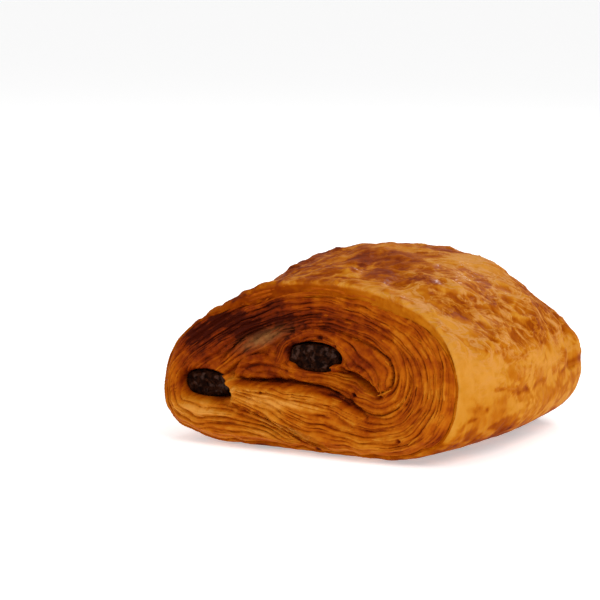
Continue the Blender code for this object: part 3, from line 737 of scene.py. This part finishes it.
# How brown each part of the skin is: the top and the blisters most, the band beside the near rim and
# the stretched side least, the foot where it met the hot tray dark again. Painted shade and a painted
# highlight are added in as well, where marked below.
wide = grain(spot, 13.0, 61)
low = ramp(30.0, 20.0, height)
blot = (0.75 * grain(warped, 4.2, 62) + 0.6 * grain(warped, 2.0, 68)) * (1.0 - low)
blot += (0.7 * grain(flank, 3.4, 82) + 0.75 * grain(flank, 1.5, 83)) * low + 0.45 * wide
fleck = grain(warped, 0.9, 76) + 0.6 * grain(spot, 0.55, 77)
patch = ramp(-0.45, 0.45, blot + 0.3 * fleck)
edge = from_near + 3.0 * grain(spot, 4.0, 84)
edge += 6.0 * ramp(15.0, 8.0, height) + 4.5 * ramp(22.0, 29.0, height)
band = ramp(10.0, 3.0, edge) * ramp(34.0, 25.0, height) * ramp(2.0, 9.0, height)
crown = ramp(28.0, 41.0, height)
left = ramp(8.0, -14.0, x)
bake_and_shade = 0.24 + 0.16 * crown + 0.12 * left + 0.08 * wide - 0.12 * band
bake_and_shade += (0.32 * patch - 0.12 - 0.5 * (wrinkle - 0.5) + 0.15 * (0.2 - crinkle) * clear) * (1.0 - 0.7 * band)
# The right shoulder is evenly orange under a pale net of crinkles.
web = ramp(23.0, 28.0, height) * ramp(42.0, 37.0, height) * ramp(20.0, 30.0, x) * ramp(4.0, 11.0, from_near)
bake_and_shade += web * (1.0 - 0.8 * band) * (0.26 - 0.14 * patch - 0.12 * crinkle)
bake_and_shade += (0.14 * puffed - 0.15 * vein) * clear + 0.03 * fleck * (1.0 - 0.5 * band)
for *middle, reach, change in SPOTS:
    away = np.linalg.norm(smooth - middle, axis=1)
    bake_and_shade += change * hump(away + 0.25 * reach * fleck, 0.0, reach)
foot = ramp(9.5, 0.8, height + 2.0 * grain(spot, 5.0, 78)) * (0.3 + 0.7 * ramp(0.0, 4.0, from_near))
bake_and_shade += foot * (0.36 + 0.24 * ramp(0.0, 0.4, grain(spot, 2.5, 69)))
# The turned-in rim is evenly brown, and darker at the upper left, partly with painted shade.
in_rim = ramp(0.04, 0.2, turn)
rim_tone = 0.61 + 0.04 * ramp(0.3, 1.0, turn) + 0.26 * left * ramp(22.0, 30.0, height)
bake_and_shade += 0.8 * in_rim * (rim_tone + 0.12 * fleck * turn - bake_and_shade)
# A painted shadow darkens the skin beside the near rim at the upper left.
bake_and_shade += 0.45 * hump(from_near, 0.0, 6.0) * ramp(-4.0, -18.0, x) * ramp(12.0, 20.0, height) * (1.0 - in_rim)
# Beside it lie pale streaks over the right shoulder, and along the rim itself one thin pale line that is a
# painted highlight on the rim's crest.
streaks = ramp(9.0, 2.0, from_near) * ramp(24.0, 32.0, height) * ramp(8.0, 18.0, x)
bake_and_shade -= 0.12 * streaks * (0.3 + patch + fleck)
bake_and_shade += 0.05 * band * grain(spot, 2.2, 86)
rim_highlight = hump(from_near, 0.0, 0.5) * ramp(2.0, 14.0, x) * ramp(0.16, 0.02, turn) * ramp(6.0, 20.0, height)
bake_and_shade -= 0.26 * rim_highlight
# The low flank behind the band is darker, painted shade for a side that faces down, with a painted shade line
# along the side crease and a painted lighter band above it; the top's left half is browner too.
bake_and_shade += 0.05 * ramp(17.0, 8.0, height) * ramp(8.0, 22.0, from_near) * ramp(62.0, 40.0, from_near)
bake_and_shade += 0.09 * ramp(14.0, 2.0, x) * ramp(36.0, 42.0, height)
crease_shade = hump(height - 15.1 - 0.06 * length + 0.9 * grain(spot, 5.0, 85), 0.0, 0.8)
bake_and_shade += 0.16 * crease_shade * (0.4 + patch) * ramp(7.0, 15.0, from_near) * ramp(15.0, 25.0, x)
bake_and_shade -= 0.1 * low * ramp(8.0, 12.0, from_near) * hump(height, 21.0, 3.0)
gloss = ramp(22.0, 36.0, height) * (0.35 + 0.65 * patch) * (1.0 - 0.9 * in_rim)
veined = clear * (1.0 - 0.8 * band) * (0.4 + 0.6 * ramp(12.0, 28.0, x))
veined *= 1.0 - 0.7 * ramp(27.0, 22.0, height)
store(crust.data, {"gloss": gloss, "veined": veined, "low": low, "bake_and_shade": np.clip(bake_and_shade, 0.0, 1.0)})
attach(crust, "root")
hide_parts("dough")


# The coiled ends. Each is one skin over the edges of the leaves, golden on the edges that the heat reached
# and lighter still where they stand out, as painted light, with the gaps darkened as painted shade. It runs a
# little way under the turned-in rim of the crust.
END_RINGS = 200
OPENING_DEPTH, CALM_HEIGHT = 7.0, 1.1  # of the dough round a stick, in mm


def end_piece(name, end):
    rim = end.rim + inward_of(end.rim) * 0.3 * MM
    centre = end.from_coil(COIL_CENTRE[None])[0]
    flat = [centre + (rim - centre) * share for share in np.linspace(1.0, 0.006, END_RINGS) ** 0.93]
    flat = np.vstack(flat + [centre[None]])
    y, (tone, leaf_line, along, course) = end.surface(flat)
    from_rim = np.linalg.norm(flat - np.vstack([np.tile(rim, (END_RINGS, 1)), centre[None]]), axis=1)
    covered = np.append(np.tile(turn_width(end), END_RINGS), 0.0)
    under = ramp(0.3 * MM, -0.5 * MM, from_rim - covered)
    y -= end.facing * (0.05 + 0.45 * under) * MM
    coil = end.to_coil(flat)
    spot = coil / MM
    x, z = spot.T
    lapped = sum(hump(x, lip_x, far) * hump(z, lip_z, high) for lip_x, lip_z, far, high in LIPS)
    lapped = ramp(0.3, 0.75, lapped + 0.15 * grain(spot, 1.0, 75))
    sunk_least = np.full(len(flat), 9.0)
    for _, stick_x, stick_z, half_width, half_height, _, flare in STICKS:
        away_x, away_z = (coil - [stick_x, stick_z]).T
        right = np.clip(away_x / half_width, 0.0, 1.3)
        wide_open = half_width + STICK_GAP + flare * (away_x > 0.0)
        droop = 0.6 * flare * right**2
        sunk = np.abs(away_x / wide_open) ** OPENING_ROUND
        sunk += np.abs((away_z + droop) / (half_height + STICK_GAP)) ** OPENING_ROUND
        sunk_least = np.minimum(sunk_least, sunk)
        level = end.foot + end.lean * flat[:, 1] + end.facing * CALM_HEIGHT * MM
        y += (level - y) * 0.6 * ramp(1.7, 1.1, sunk)
        inside = OPENING_DEPTH * ramp(1.15, 0.8, sunk + 0.06 * grain(spot, 2.2, 71))
        y -= end.facing * (inside + 0.8 * ramp(1.9, 1.0, sunk) ** 2) * (1.0 - lapped) * MM
        # Round each opening the dough is darkened with painted shade where it dips into the hollow.
        tone -= 0.26 * ramp(1.5, 0.9, sunk) * (1.0 - lapped)
    y += end.facing * 0.6 * lapped * MM
    points = np.insert(flat, 1, y, axis=1)
    faces = ring_faces(END_RINGS, SKIN_AROUND)
    last = (END_RINGS - 1) * SKIN_AROUND
    faces += [(last + i, len(points) - 1, last + (i + 1) % SKIN_AROUND) for i in range(SKIN_AROUND)]
    if end.facing < 0:
        faces = [face[::-1] for face in faces]
    across, up = ((spot - CREAM_PATCH) @ CREAM_SLANT).T
    pale = hump(across, 0.0, 5.6) * hump(up + 0.3 * grain(spot, 2.0, 73), 0.0, 1.5)
    flaky = 0.35 + 0.5 * grain(spot, 5.0, 74) + 0.6 * hump(x, 34.0, 8.0) + 0.6 * pale
    flaky += 0.8 * hump(route_distance(CRUMBLY_ROUTE, 0.4, spot), 0.0, 1.0)
    flaky -= hump(x, 20.0, 4.0) * hump(z, 15.0, 3.0) + 0.9 * hump(x, -8.0, 12.0) * hump(z, 18.8, 2.6)
    flaky -= 1.5 * ramp(4.0, 1.0, sunk_least)
    flaky[from_rim < covered + 0.8 * MM] = 0.0
    return mesh_object(name, points, faces, {
        "tone": tone, "leaf": leaf_line, "along": along, "pale": pale, "flaky": np.clip(flaky, 0.0, 1.0),
        "course_x": course[:, 0], "course_z": course[:, 1],
    })


def laminated_ends():
    """Cut edges of laminated dough: dry, flaky and matt, with a little butter sheen."""
    material, tree, shader, place, read = new_material(
        "laminated_edges", {"Roughness": 0.55, "Specular IOR Level": 0.04},
        ("tone", "leaf", "along", "pale"))
    fine = add(tree, "ShaderNodeTexNoise", {"Vector": place, "Scale": 1100.0, "Detail": 4.0})  # 0.9 mm
    lines = add(tree, "ShaderNodeCombineXYZ", {0: read["leaf"], 1: read["along"]})
    lines = add(tree, "ShaderNodeVectorMath", {0: lines, 1: (1.2, 0.6, 1.0)}, operation="MULTIPLY")
    streak = add(tree, "ShaderNodeTexNoise", {"Vector": lines, "Scale": 1.0, "Detail": 3.0})
    tone = read["tone"]
    for pattern, weight in ((fine, 0.22), (streak, 0.28)):
        shift = add(tree, "ShaderNodeMath", {0: pattern, 1: weight, 2: -weight / 2}, operation="MULTIPLY_ADD")
        tone = add(tree, "ShaderNodeMath", {0: tone, 1: shift}, operation="ADD")
    colour = browned(tree, tone, "#3e0c00", (
        (0.0, 0.2, "#782700"), (0.2, 0.42, "#9c4300"), (0.42, 0.6, "#b25a04"), (0.6, 0.8, "#c27215"),
        (0.8, 1.0, "#d48c38"),
    ))
    cream = add(tree, "ShaderNodeMapRange", {0: streak, 1: 0.35, 2: 0.6, 3: 0.5, 4: 1.0})
    cream = add(tree, "ShaderNodeMath", {0: cream, 1: read["pale"]}, operation="MULTIPLY")
    cream = add(tree, "ShaderNodeMix", {0: cream, 6: colour, 7: linear("#8c5c30")}, data_type="RGBA")
    tree.links.new(cream.outputs[2], shader.inputs["Base Color"])
    uneven = add(tree, "ShaderNodeMath", {0: fine, 1: streak}, operation="ADD")
    bump = add(tree, "ShaderNodeBump", {"Height": uneven, "Strength": 0.35, "Distance": 0.0004})
    tree.links.new(bump.outputs["Normal"], shader.inputs["Normal"])
    return material


leaf_material = laminated_ends()
coil_near = end_piece("coil_near", near_end)
coil_far = end_piece("coil_far", far_end)
for piece in (coil_near, coil_far):
    piece.data.materials.append(leaf_material)
    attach(piece, "root")
    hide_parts("dough")


# Loose flakes on the ends: scraps of leaf that dried, curled and broke when the ends opened in the
# oven. Each is a sliver up to two millimetres long that lies along its strip with one edge lifted.
def leaf_flakes():
    tree, given = new_tree("leaf_flakes", {
        "Flakes per square metre": 190000.0, "Lift": 0.36, "Curl": 0.35,
        "Shortest": (0.0005, 0.00016, 0.00003), "Longest": (0.0021, 0.00034, 0.00007),
    }, "Leaf")
    read = {
        title: add(tree, "GeometryNodeInputNamedAttribute", {"Name": title})
        for title in ("flaky", "tone", "course_x", "course_z")
    }
    density = add(tree, "ShaderNodeMath", {0: read["flaky"], 1: given["Flakes per square metre"]},
                  operation="MULTIPLY")
    spots = add(tree, "GeometryNodeDistributePointsOnFaces",
                {"Mesh": given["Geometry"], "Density": density, "Seed": 12})
    lighter = add(tree, "FunctionNodeRandomValue", {2: -0.06, 3: 0.17, "Seed": 3})
    lighter = add(tree, "ShaderNodeMath", {0: read["tone"], 1: lighter.outputs[1]}, operation="ADD")
    points = add(tree, "GeometryNodeStoreNamedAttribute",
                 {"Geometry": spots, "Name": "tone", "Value": lighter})
    course = add(tree, "ShaderNodeCombineXYZ", {0: read["course_x"], 2: read["course_z"]})
    laid = add(tree, "FunctionNodeAxesToRotation",
               {"Primary Axis": spots.outputs["Normal"], "Secondary Axis": course},
               primary_axis="Z", secondary_axis="X")
    sway = add(tree, "FunctionNodeRandomValue", {0: (-1.0, -0.25, -0.3), 1: (1.0, 0.25, 0.3), "Seed": 4},
               data_type="FLOAT_VECTOR")
    tilt = add(tree, "ShaderNodeVectorMath", {0: sway, "Scale": given["Lift"]}, operation="SCALE")
    tilt = add(tree, "FunctionNodeEulerToRotation", {0: tilt})
    laid = add(tree, "FunctionNodeRotateRotation", {0: laid, 1: tilt}, rotation_space="LOCAL")
    sliver = add(tree, "GeometryNodeMeshUVSphere", {"Segments": 6, "Rings": 5})
    sliver = add(tree, "GeometryNodeTransform", {"Geometry": sliver, "Rotation": (0.0, math.pi / 2.0, 0.0)})
    length = add(tree, "ShaderNodeSeparateXYZ", {0: add(tree, "GeometryNodeInputPosition")})
    bow = add(tree, "ShaderNodeMath", {0: length, 1: 2.0}, operation="POWER")
    bow = add(tree, "ShaderNodeMath", {0: bow, 1: given["Curl"]}, operation="MULTIPLY")
    bow = add(tree, "ShaderNodeCombineXYZ", {1: bow, 2: bow})
    sliver = add(tree, "GeometryNodeSetPosition", {"Geometry": sliver, "Offset": bow})
    size = add(tree, "FunctionNodeRandomValue", {0: given["Shortest"], 1: given["Longest"], "Seed": 6},
               data_type="FLOAT_VECTOR")
    made = add(tree, "GeometryNodeInstanceOnPoints",
               {"Points": points, "Instance": sliver, "Rotation": laid, "Scale": size})
    return close_tree(tree, made, given["Leaf"])


flake_tree = leaf_flakes()
for piece in (coil_near, coil_far):
    scraps = bpy.data.objects.new(piece.name.replace("coil", "flakes"), piece.data.copy())
    bpy.context.collection.objects.link(scraps)
    grown(scraps, flake_tree, {"Leaf": leaf_material})
    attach(scraps, "root")
    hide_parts("dough")


# The chocolate sticks: baking sticks of dark chocolate made to keep their shape in the oven, laid in
# the dough before it was rolled. Their ends have dried, cracked and dulled a little.
STICK_SIDES, STICK_RINGS, CAP_RINGS = 96, 90, 16
CAP_LENGTH, CAP_ROUND = 1.1 * MM, 2.6


def stick_piece(stick):
    name, stick_x, stick_z, half_width, half_height, depth, _ = stick
    reach, middles = [], []
    for end in both_ends:
        middle = end.from_coil(np.array([[stick_x, stick_z]]))
        ring = middle + rounded_bar(half_width + 0.7 * MM, half_height + 0.7 * MM, 20)
        reach.append(end.surface(ring)[0].mean() - end.facing * depth)
        middles.append(middle[0])
    near_y, far_y = reach
    cap = np.linspace(0.0, 1.0, CAP_RINGS, endpoint=False)[1:]
    rounding = CAP_LENGTH * (1.0 - np.sqrt(1.0 - cap**CAP_ROUND))
    straight = np.linspace(near_y + CAP_LENGTH, far_y - CAP_LENGTH, STICK_RINGS)
    rows = np.concatenate([near_y + rounding, straight, far_y - rounding[::-1]])
    scales = np.concatenate([cap, np.ones(STICK_RINGS), cap[::-1]])
    points = []
    for y, scale in zip(rows, scales):
        share = (y - near_end.foot) / (far_end.foot - near_end.foot)
        size = (1.0 + (FAR_SHRINK - 1.0) * share) * scale
        centre = middles[0] + (middles[1] - middles[0]) * share
        flat = centre + rounded_bar(half_width, half_height, STICK_SIDES) * size
        points.append(np.insert(flat, 1, y, axis=1))
    points = np.vstack(points)
    first, last = points[:STICK_SIDES].mean(axis=0), points[-STICK_SIDES:].mean(axis=0)
    points = np.vstack([points, first, last])
    lumps = (0.5 * grain(points / MM, 2.6, 81) + 0.22 * grain(points / MM, 1.1, 82)) * MM
    ending = ramp(3.0 * MM, 0.5 * MM, np.minimum(points[:, 1] - near_y, far_y - points[:, 1]))
    points[:, 1] += 1.6 * lumps * ending
    points[:, 2] += 0.25 * lumps
    faces = ring_faces(len(rows), STICK_SIDES)
    total = len(rows) * STICK_SIDES
    for i in range(STICK_SIDES):
        j = (i + 1) % STICK_SIDES
        faces.append((i, j, total))
        faces.append((total - STICK_SIDES + j, total - STICK_SIDES + i, total + 1))
    made = mesh_object(name + "_bar", points, faces)
    made.data.materials.append(chocolate_material)
    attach(made, "root")
    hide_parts(name)


def dark_chocolate():
    """Cocoa mass and sugar, baked: almost black, with a dull broken gloss from the cocoa butter."""
    material, tree, shader, place, _ = new_material(
        "dark_chocolate", {"Roughness": 0.5, "Specular IOR Level": 0.02, "Coat Roughness": 0.12})
    coarse = add(tree, "ShaderNodeTexNoise", {"Vector": place, "Scale": 900.0, "Detail": 6.0})  # 1.1 mm
    lumps = add(tree, "ShaderNodeTexNoise", {"Vector": place, "Scale": 620.0, "Detail": 2.0})  # 1.6 mm
    part = add(tree, "ShaderNodeMapRange", {0: coarse, 1: 0.4, 2: 0.75})
    colour = add(tree, "ShaderNodeMix", {0: part, 6: linear("#0f0402"), 7: linear("#33170a")},
                 data_type="RGBA")
    # Lighter brown patches on the lumps are painted highlights, warm glints in the base colour.
    painted_glint = add(tree, "ShaderNodeMapRange", {0: lumps, 1: 0.52, 2: 0.66, 4: 0.6})
    colour = add(tree, "ShaderNodeMix", {0: painted_glint, 6: colour.outputs[2], 7: linear("#4a2a1b")},
                 data_type="RGBA")
    tree.links.new(colour.outputs[2], shader.inputs["Base Color"])
    glint = add(tree, "ShaderNodeMapRange", {0: lumps, 1: 0.54, 2: 0.64, 4: 0.17})
    tree.links.new(glint.outputs[0], shader.inputs["Coat Weight"])
    uneven = add(tree, "ShaderNodeMath", {0: lumps, 1: coarse}, operation="ADD")
    bump = add(tree, "ShaderNodeBump", {"Height": uneven, "Strength": 0.9, "Distance": 0.0012})
    tree.links.new(bump.outputs["Normal"], shader.inputs["Normal"])
    return material


chocolate_material = dark_chocolate()
for stick in STICKS:
    stick_piece(stick)


# The studio: a pale floor that runs on to the horizon, a large soft light from the right and above,
# a weaker one from the front left, a wide one and a small one from behind, and a pale surround.
floor_data = bpy.data.meshes.new("floor")
floor_data.from_pydata([(-40, -40, 0), (40, -40, 0), (40, 40, 0), (-40, 40, 0)], [], [(0, 1, 2, 3)])
floor = bpy.data.objects.new("floor", floor_data)
bpy.context.collection.objects.link(floor)
paint = bpy.data.materials.new("pale_floor")
paint.use_nodes = True
for title, value in (("Base Color", (0.93, 0.93, 0.93, 1.0)), ("Emission Color", (1.0, 1.0, 1.0, 1.0)),
                     ("Emission Strength", 0.42), ("Roughness", 0.8)):
    paint.node_tree.nodes["Principled BSDF"].inputs[title].default_value = value
floor_data.materials.append(paint)

scene = bpy.context.scene
scene.view_settings.view_transform = "Standard"
surround = bpy.data.worlds.new("surround")
surround.use_nodes = True
surround.node_tree.nodes["Background"].inputs["Color"].default_value = (1.0, 1.0, 1.0, 1.0)
surround.node_tree.nodes["Background"].inputs["Strength"].default_value = 0.56
scene.world = surround

LIT_POINT = Vector((0.0, 0.0, 0.02))


def soft_light(name, place, size, watts):
    data = bpy.data.lights.new(name, "AREA")
    data.shape = "RECTANGLE"
    data.size, data.size_y = size
    data.energy = watts
    made = bpy.data.objects.new(name, data)
    bpy.context.collection.objects.link(made)
    made.location = place
    made.rotation_euler = (made.location - LIT_POINT).to_track_quat("Z", "Y").to_euler()


soft_light("key", (0.55, -0.25, 0.6), (0.5, 0.5), 3.0)
soft_light("fill", (-0.5, -0.6, 0.35), (0.6, 0.5), 1.2)
soft_light("back", (0.1, 0.6, 0.6), (0.6, 0.3), 1.8)
soft_light("glint", (-0.1, 0.75, 0.5), (0.08, 0.08), 0.6)

# The camera stands low and to the right of the near end, far enough off to keep the roll's lines calm.
CAMERA_PLACE = np.array([281.50, -520.53, 121.03]) * MM - SET_OUT
LOOK = (-0.49496, 0.85612, -0.14858)
SENSOR = 36.0
LENS = 145.87
eye = bpy.data.cameras.new("camera")
eye.sensor_width, eye.lens = SENSOR, LENS
camera = bpy.data.objects.new("camera", eye)
bpy.context.collection.objects.link(camera)
camera.location = CAMERA_PLACE
camera.rotation_euler = Vector(LOOK).to_track_quat("-Z", "Y").to_euler()
scene.camera = camera
